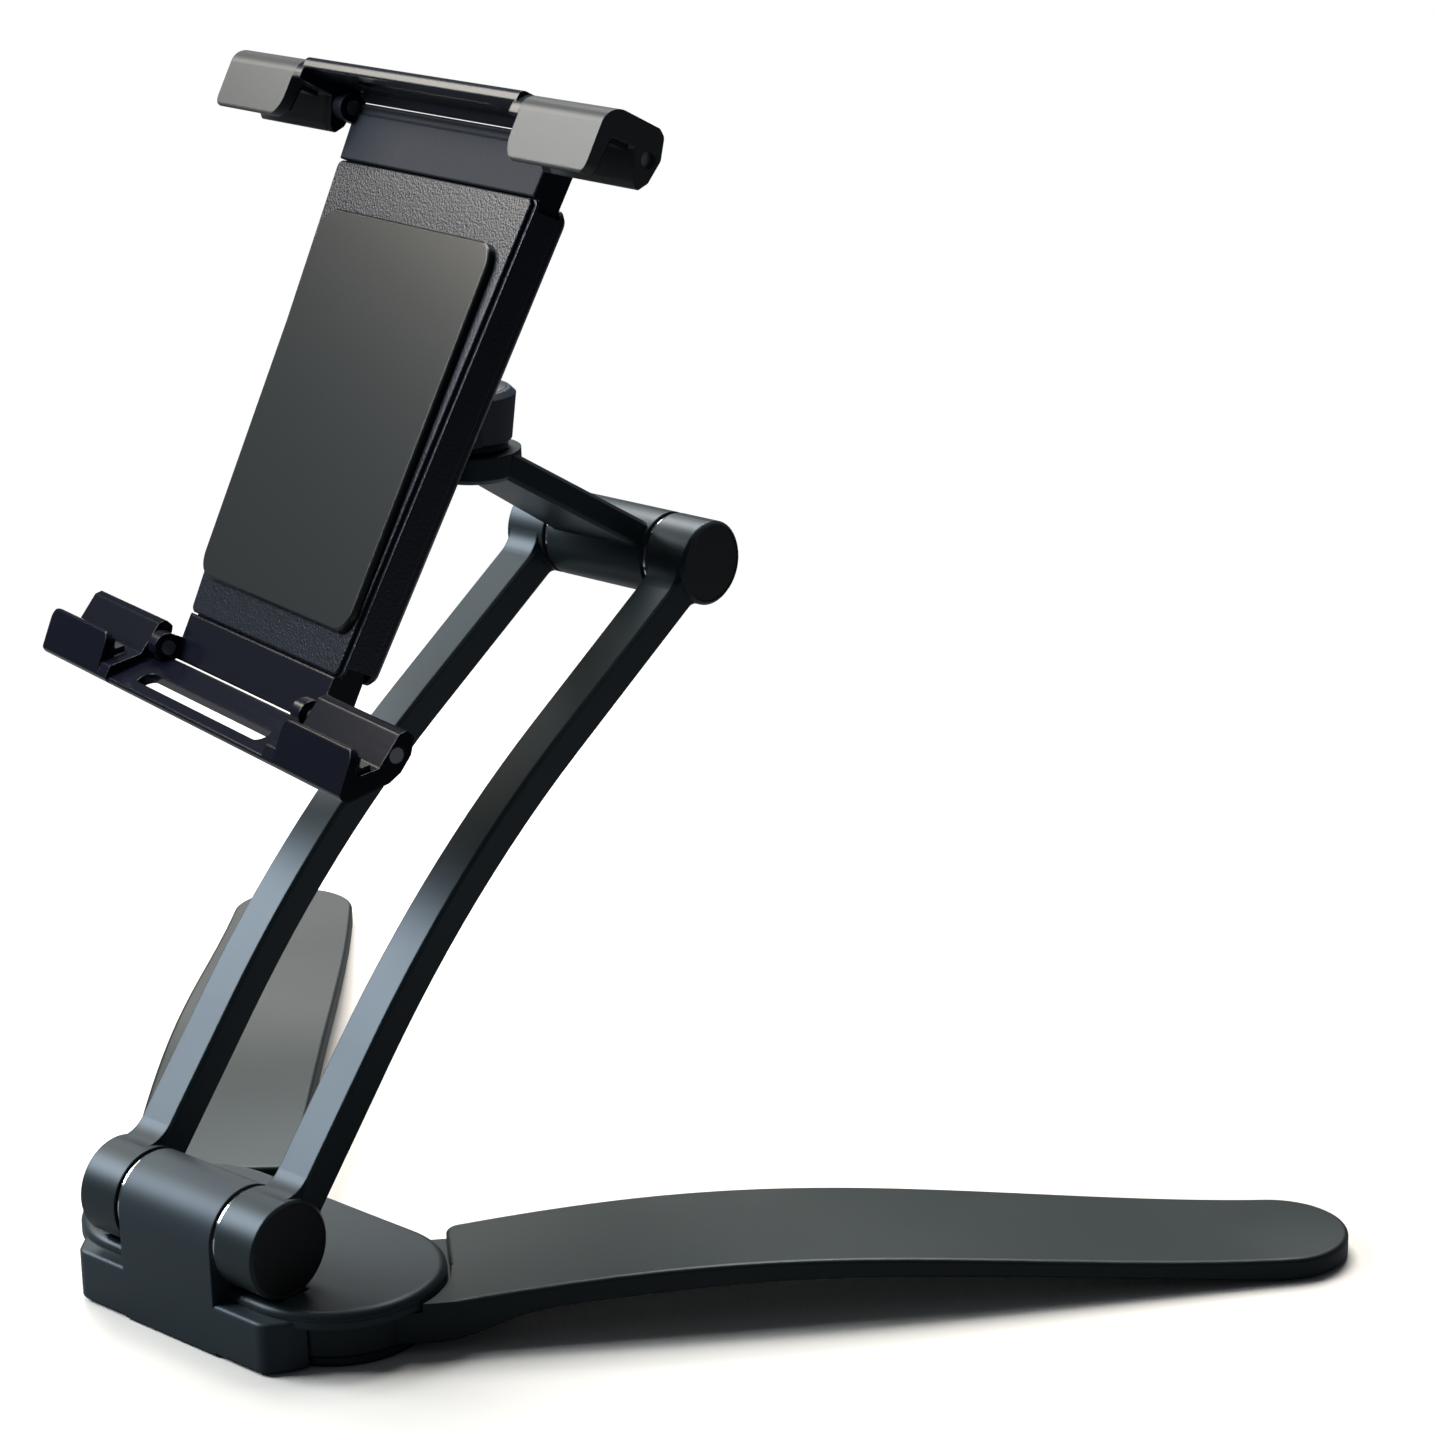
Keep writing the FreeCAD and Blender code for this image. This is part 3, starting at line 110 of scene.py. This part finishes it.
# %% Satin coated aluminium
COOL_TINT = "#c9def0"
LEG_TINT = "#c4d6d8"
GLOSS_PATCH_MM = 30


def coated_aluminium(name, colour, smoothest, roughest, tint=COOL_TINT):
    material, tree, output = new_material(name)
    place = add(tree, "ShaderNodeTexCoord")
    patches = add(tree, "ShaderNodeTexNoise", {
        "Vector": place.outputs["Object"], "Scale": 1 / (GLOSS_PATCH_MM * MM), "Detail": NOISE_DETAIL,
    })
    roughness = add(tree, "ShaderNodeMapRange", {
        "Value": patches.outputs["Fac"], "To Min": smoothest, "To Max": roughest,
    })
    orange_peel = grained_edge_normal(tree, edge_mm=0.5, grain_mm=0.8, depth_mm=0.02, strength=0.15)
    shader = add(tree, "ShaderNodeBsdfPrincipled", {
        "Base Color": linear(colour), "Roughness": roughness.outputs["Result"],
        "Specular Tint": linear(tint), "Normal": orange_peel,
    })
    finish_surface(tree, output, shader)
    return material


# Bent bar has a smooth skin under its coat, and the arms show long soft highlights.
coated_bar = coated_aluminium("satin_coated_aluminium", "#20282a", smoothest=0.36, roughest=0.42)
# The legs' plate has the same coat. Its colour is painted a little darker, as shade on the legs, and it
# and its reflection are a little less blue.
coated_leg = coated_aluminium("satin_coated_sheet", "#1b2122", smoothest=0.35, roughest=0.41, tint=LEG_TINT)
# A casting's rougher skin shows through the coat and dulls the base. Its colour is painted lighter than the
# bar's, as the light that the bright table in front throws back onto the base.
coated_casting = coated_aluminium("satin_coated_casting", "#2b3337", smoothest=0.42, roughest=0.5)
print("coated metals:", coated_bar.name, coated_leg.name, coated_casting.name)

# %% [markdown]
# The clamp and the head are injection-moulded ABS, and the pads and soles are moulded rubber. How the mould
# was made shows on the part: spark erosion leaves an even grain on the plate, and a polished mould leaves
# the lower slide and jaw glossy and nearly black. Each could be a material of its own from the start, but
# they differ only in numbers. So there is one recipe, with colour, roughness, grain, radius of the edges,
# and strength and tint of the reflection.

# %% Moulded plastics and rubbers
GRAIN_STRENGTH = 0.5
NEUTRAL = "#ffffff"
PLATE_TINT = "#e4edfb"
PALE_BLUE_TINT = "#dfeaff"


def moulded(name, colour, roughness, grain_mm, depth_mm, edge_mm, specular=0.5, tint=NEUTRAL):
    material, tree, output = new_material(name)
    shader = add(tree, "ShaderNodeBsdfPrincipled", {
        "Base Color": linear(colour), "Roughness": roughness, "Specular IOR Level": specular,
        "Specular Tint": linear(tint),
        "Normal": grained_edge_normal(tree, edge_mm, grain_mm, depth_mm, GRAIN_STRENGTH),
    })
    finish_surface(tree, output, shader)
    return material


# Spark-eroded ABS sparkles finely where light falls on it. The real grain is about a tenth of a millimetre
# and wouldn't show, so it is drawn at half a millimetre.
plate_abs = moulded("spark_grained_abs", "#0a0e18", 0.28, grain_mm=0.5, depth_mm=0.17, edge_mm=0.4,
                    specular=0.62, tint=PLATE_TINT)
# Finely grained ABS is dull and even beside the plate.
upper_slide_abs = moulded("fine_grained_slide_abs", "#0d1119", 0.58, grain_mm=0.4, depth_mm=0.07,
                          edge_mm=0.4, specular=0.24, tint=PALE_BLUE_TINT)
# Satin ABS gives the head a faint blue sheen.
head_abs = moulded("satin_moulded_abs", "#1d2a3c", 0.42, grain_mm=0.3, depth_mm=0.02, edge_mm=0.5)
# ABS from a polished mould is nearly black, with clear thin highlights.
lower_slide_abs = moulded("smooth_moulded_abs", "#0a0d18", 0.2, grain_mm=0.9, depth_mm=0.004, edge_mm=0.4)
lower_jaw_abs = moulded("glossy_jaw_abs", "#0a0d18", 0.2, grain_mm=0.3, depth_mm=0.002, edge_mm=0.5,
                        specular=0.25)
# The face pad's smooth rubber has an even sheen that fades from top to bottom.
pad_rubber = moulded("moulded_pad_rubber", "#191e1f", 0.28, grain_mm=0.5, depth_mm=0.01, edge_mm=0.4)
# The strips in the hooks are softer rubber and a little duller.
hook_rubber = moulded("moulded_hook_rubber", "#1c2b30", 0.4, grain_mm=0.5, depth_mm=0.01, edge_mm=0.2,
                      specular=0.3)
# The soles are matt, so that they grip.
sole_rubber = moulded("moulded_sole_rubber", "#17181a", 0.7, grain_mm=0.5, depth_mm=0.03, edge_mm=0.2)
print("moulded materials:", plate_abs.name, "to", sole_rubber.name)

# %% [markdown]
# The upper jaw is one moulding of dark ABS, glossy on the bar between the hooks and satin on the hooks. On
# the hooks a lighter grey is painted in, as the light that they catch. It could be cut into two meshes or
# painted with an image, but one solid and a rule are simpler. The rule is how far a point lies from the
# jaw's middle, measured along the jaw. It becomes a mask that is zero on the bar and one on the hooks, and
# the mask blends both the colour with its painted light and the roughness. The Mix node has an A and a B
# for each kind of data under the same names, so its sockets go by number.

# %% Upper jaw with painted light on the hooks
JAW_MIDDLE_MM = (-4.5, 83.5, 224.5)
JAW_AXIS = (0.9481, -0.3113, 0.0651)
HOOK_START_MM = 49.9
HOOK_BLEND_MM = 0.6
MIX_FACTOR = 0
MIX_COLOUR_A = 6
MIX_COLOUR_B = 7
MIX_COLOUR_RESULT = 2


def jaw_with_painted_hook_light(name, bar_colour, painted_hook_light_colour, bar_roughness, hook_roughness):
    """Dark glossy bar between the hooks, and satin on the hooks with a lighter grey painted in for their
    light.
    """
    material, tree, output = new_material(name)
    place = add(tree, "ShaderNodeTexCoord")
    from_middle = add(tree, "ShaderNodeVectorMath", {
        0: place.outputs["Object"], 1: Vector(JAW_MIDDLE_MM) * MM,
    }, operation="SUBTRACT")
    along = add(tree, "ShaderNodeVectorMath", {
        0: from_middle.outputs["Vector"], 1: JAW_AXIS,
    }, operation="DOT_PRODUCT")
    distance = add(tree, "ShaderNodeMath", {0: along.outputs["Value"]}, operation="ABSOLUTE")
    hook = add(tree, "ShaderNodeMapRange", {
        "Value": distance.outputs["Value"], "From Min": (HOOK_START_MM - HOOK_BLEND_MM) * MM,
        "From Max": HOOK_START_MM * MM,
    })
    colour = add(tree, "ShaderNodeMix", {
        MIX_FACTOR: hook.outputs["Result"], MIX_COLOUR_A: linear(bar_colour),
        MIX_COLOUR_B: linear(painted_hook_light_colour),
    }, data_type="RGBA")
    roughness = add(tree, "ShaderNodeMapRange", {
        "Value": hook.outputs["Result"], "To Min": bar_roughness, "To Max": hook_roughness,
    })
    normal = grained_edge_normal(tree, edge_mm=0.5, grain_mm=0.3, depth_mm=0.02, strength=GRAIN_STRENGTH)
    shader = add(tree, "ShaderNodeBsdfPrincipled", {
        "Base Color": colour.outputs[MIX_COLOUR_RESULT], "Roughness": roughness.outputs["Result"],
        "Specular Tint": linear(PALE_BLUE_TINT), "Normal": normal,
    })
    finish_surface(tree, output, shader)
    return material


# The hooks' grey is painted light: the whole jaw is dark ABS, and the grey stands for the light on the hooks.
upper_jaw_abs = jaw_with_painted_hook_light("fine_grained_jaw_abs", bar_colour="#14181f", painted_hook_light_colour="#414340",
                             bar_roughness=0.22, hook_roughness=0.34)
print("two tones meet at", HOOK_START_MM, "mm from the middle of", upper_jaw_abs.name)

# %% [markdown]
# The trim rings beside the barrels are chrome plated, the axles, screws and pins are turned steel, and the
# bushes and end caps are plain plastic. Turning marks could be added, but these pieces are a few
# millimetres wide and show as thin bright lines. So bare metal gets only a colour and a roughness, because
# nearly all that it shows is reflection, and the small plastic parts get soft edges and no grain.

# %% Chrome, steel and small plastic parts
SMALL_EDGE_MM = 0.3


def bare_metal(name, colour, roughness):
    material, tree, output = new_material(name)
    shader = add(tree, "ShaderNodeBsdfPrincipled", {
        "Base Color": linear(colour), "Metallic": 1.0, "Roughness": roughness,
    })
    finish_surface(tree, output, shader)
    return material


def plain_plastic(name, colour, roughness):
    material, tree, output = new_material(name)
    edge = add(tree, "ShaderNodeBevel", {"Radius": SMALL_EDGE_MM * MM}, samples=BEVEL_SAMPLES)
    shader = add(tree, "ShaderNodeBsdfPrincipled", {
        "Base Color": linear(colour), "Roughness": roughness, "Normal": edge.outputs["Normal"],
    })
    finish_surface(tree, output, shader)
    return material


# Polished plate mirrors the lights as thin white lines, and turned steel spreads them more.
chrome = bare_metal("polished_chrome_plate", "#d6dade", 0.12)
steel = bare_metal("turned_steel", "#a9adb2", 0.3)
spring_steel = bare_metal("drawn_spring_wire", "#9a9da1", 0.25)
# Acetal is a waxy white, and the end caps are a black that nearly vanishes in the barrels.
bush_plastic = plain_plastic("turned_acetal", "#d8d4c8", 0.5)
cap_plastic = plain_plastic("moulded_cap_plastic", "#0b0c0e", 0.45)
print("small parts' materials:", chrome.name, steel.name, cap_plastic.name)

# %% [markdown]
# On a bench each of these solids is of one material. A mesh could hold several in slots, face by face, but
# here one slot is enough: it is emptied and the new surface goes in. The list below is the stand's parts
# list, sorted by material.

# %% Surfaces onto the pieces
surfaces = {
    coated_bar: ["pivot_cover", "bottom_plate", "right_arm", "left_arm", "link_arm"],
    coated_leg: ["right_leg", "left_leg"],
    coated_casting: ["base_housing"],
    plate_abs: ["front_plate", "back_cover", "turntable"],
    head_abs: ["swivel_head", "swivel_cap"],
    upper_slide_abs: ["upper_slide"],
    lower_slide_abs: ["lower_slide"],
    upper_jaw_abs: ["upper_jaw"],
    lower_jaw_abs: ["lower_jaw"],
    pad_rubber: ["face_pad"],
    hook_rubber: ["upper_jaw_pads", "lower_jaw_pads"],
    sole_rubber: ["base_pad", "right_leg_pad", "left_leg_pad"],
    chrome: ["lower_trim_rings", "upper_trim_rings"],
    steel: ["base_screws", "lower_axle", "lower_axle_nuts", "upper_axle", "upper_axle_nuts", "swivel_bolt",
            "tilt_pin", "turntable_pin", "cover_screws", "upper_jaw_pins", "lower_jaw_pins"],
    spring_steel: ["clamp_springs"],
    bush_plastic: ["leg_washers", "lower_bushes", "upper_bushes"],
    cap_plastic: ["lower_end_caps", "upper_end_caps"],
}
for material, names in surfaces.items():
    for name in names:
        piece = nodes[name]
        piece.data.materials.clear()
        piece.data.materials.append(material)
print("dressed:", sum(len(names) for names in surfaces.values()), "of", len(nodes))

# %% [markdown]
# The photograph was taken with a long lens from the front right, a little above the stand and a little
# tilted. A camera could be aimed by eye, but it gets the position and angles that were solved by matching
# points of the stand in the picture, because then every edge falls where the photograph has it. Its three
# axes are built from the two viewing angles and the roll, and become the columns of its matrix.

# %% Camera
CAMERA_POSITION_MM = (574.6, -483.8, 369.4)
CAMERA_AZIMUTH = 42.03
CAMERA_ELEVATION = 18.33
CAMERA_ROLL = -1.33
FOCAL_PIXELS = 4170
PHOTO_PIXELS = 1434
SENSOR_WIDTH = 36.0
CLIP_START_MM = 10
CLIP_END_MM = 20000


def make_camera():
    azimuth = math.radians(CAMERA_AZIMUTH)
    elevation = math.radians(CAMERA_ELEVATION)
    roll = math.radians(CAMERA_ROLL)
    flat = math.cos(elevation)
    back = Vector((math.sin(azimuth) * flat, -math.cos(azimuth) * flat, math.sin(elevation)))
    level = Vector((math.cos(azimuth), math.sin(azimuth), 0))
    upright = back.cross(level)
    right = level * math.cos(roll) + upright * math.sin(roll)
    up = upright * math.cos(roll) - level * math.sin(roll)
    data = bpy.data.cameras.new("camera")
    data.sensor_width = SENSOR_WIDTH
    data.lens = FOCAL_PIXELS / PHOTO_PIXELS * SENSOR_WIDTH
    data.clip_start = CLIP_START_MM * MM
    data.clip_end = CLIP_END_MM * MM
    camera = bpy.data.objects.new("camera", data)
    bpy.context.scene.collection.objects.link(camera)
    turn = Matrix((right, up, back)).transposed().to_4x4()
    camera.matrix_world = Matrix.Translation(Vector(CAMERA_POSITION_MM) * MM) @ turn
    bpy.context.scene.camera = camera
    return camera


camera = make_camera()
print("lens:", round(camera.data.lens, 1), "mm")

# %% [markdown]
# In the photograph the stand is on a white table that fades into a white background, with only a soft
# shadow under it. A shadow catcher would need the picture put together afterwards, so the table is a real
# plane of one square. To the camera it is nearly white. To the stand's own reflections it is a darker
# grey, because a white table would wash out the faces that look down at it. Past a quarter of a metre it
# begins to turn clear, so that no edge of it shows.

# %% Table
TABLE_HALF_WIDTH_MM = 1000
FADE_CENTRE_MM = (40, 60, 0)
FADE_START_MM = 280
FADE_END_MM = 500


def white_table():
    mesh = bpy.data.meshes.new("table")
    plane = bmesh.new()
    bmesh.ops.create_grid(plane, x_segments=1, y_segments=1, size=TABLE_HALF_WIDTH_MM * MM)
    plane.to_mesh(mesh)
    plane.free()
    table = bpy.data.objects.new("table", mesh)
    bpy.context.scene.collection.objects.link(table)
    material, tree, output = new_material("white_table")
    seen = add(tree, "ShaderNodeBsdfDiffuse", {"Color": linear("#ebe9e4")})
    reflected = add(tree, "ShaderNodeBsdfDiffuse", {"Color": linear("#6a6c6f")})
    path = add(tree, "ShaderNodeLightPath")
    white = add(tree, "ShaderNodeMixShader", {
        "Fac": path.outputs["Is Camera Ray"], 1: reflected.outputs[0], 2: seen.outputs[0],
    })
    place = add(tree, "ShaderNodeTexCoord")
    away = add(tree, "ShaderNodeVectorMath", {
        0: place.outputs["Object"], 1: Vector(FADE_CENTRE_MM) * MM,
    }, operation="DISTANCE")
    fade = add(tree, "ShaderNodeMapRange", {
        "Value": away.outputs["Value"], "From Min": FADE_START_MM * MM, "From Max": FADE_END_MM * MM,
    }, interpolation_type="SMOOTHSTEP")
    clear = add(tree, "ShaderNodeBsdfTransparent")
    shader = add(tree, "ShaderNodeMixShader", {
        "Fac": fade.outputs["Result"], 1: white.outputs[0], 2: clear.outputs[0],
    })
    finish_surface(tree, output, shader)
    mesh.materials.append(material)
    return table


table = white_table()
print("table faces:", len(table.data.polygons))

# %% [markdown]
# The world round the stand works the same way. It is white where the camera looks past the stand, and a
# dim bluish studio to everything else. A white world all round would be simpler, but it would light every
# face alike. In the dim one the dark coating stays dark and only the soft boxes shape it.

# %% Background
STUDIO_STRENGTH = 0.08
WHITE_STRENGTH = 1.0


def white_world():
    """White to the camera, and a dim studio to everything else."""
    world = bpy.data.worlds.new("studio")
    world.use_nodes = True
    tree = world.node_tree
    tree.nodes.clear()
    path = add(tree, "ShaderNodeLightPath")
    studio = add(tree, "ShaderNodeBackground", {"Color": linear("#d4deea"), "Strength": STUDIO_STRENGTH})
    white = add(tree, "ShaderNodeBackground", {"Color": linear("#ffffff"), "Strength": WHITE_STRENGTH})
    mix = add(tree, "ShaderNodeMixShader", {
        "Fac": path.outputs["Is Camera Ray"], 1: studio.outputs[0], 2: white.outputs[0],
    })
    output = add(tree, "ShaderNodeOutputWorld")
    finish_surface(tree, output, mix)
    bpy.context.scene.world = world


white_world()
print("world:", bpy.context.scene.world.name)

# %% [markdown]
# The photograph was lit by broad soft lights. On a dark satin surface such a light shows as the patch where
# it is mirrored. Lights could be moved about until it looks right, but it is quicker to work out where one
# group of faces mirrors the camera's line of sight, and to put a soft box there. The big one behind and
# above lights the table and the legs and throws the shadow forward. The one at the front left is mirrored
# in the lower half of the arms. The small warm one stands at the left, higher than the clamp, so that the
# plate is brightest at its top and falls off downwards. The smallest one lies low behind the far leg, makes
# it paler and is hidden from the camera.

# %% Light


def soft_box(name, position_mm, aim_mm, width_mm, height_mm, power, colour):
    data = bpy.data.lights.new(name, "AREA")
    data.shape = "RECTANGLE"
    data.size = width_mm * MM
    data.size_y = height_mm * MM
    data.energy = power
    data.color = linear(colour)[:3]
    light = bpy.data.objects.new(name, data)
    bpy.context.scene.collection.objects.link(light)
    position = Vector(position_mm) * MM
    light.location = position
    light.rotation_euler = (Vector(aim_mm) * MM - position).to_track_quat("-Z", "Y").to_euler()
    return light


soft_box("back_top", position_mm=(-500, 650, 1350), aim_mm=(50, 50, 0),
         width_mm=1000, height_mm=1000, power=39, colour="#fffcf8")
soft_box("front_left", position_mm=(-880, -540, 900), aim_mm=(0, 50, 100),
         width_mm=700, height_mm=700, power=26, colour="#eef2f6")
far_glow = soft_box("far_glow", position_mm=(-255, 250, 70), aim_mm=(-140, 140, 0),
                    width_mm=100, height_mm=60, power=0.045, colour="#f4f0ea")
far_glow.visible_camera = False
soft_box("low_left", position_mm=(-570, 30, 460), aim_mm=(0, 70, 220),
         width_mm=220, height_mm=200, power=0.84, colour="#fdf3e2")

# %% [markdown]
# A filmic view would soften the whites to grey, so the Standard view is set: it shows colours as they were
# picked.

bpy.context.scene.view_settings.view_transform = "Standard"
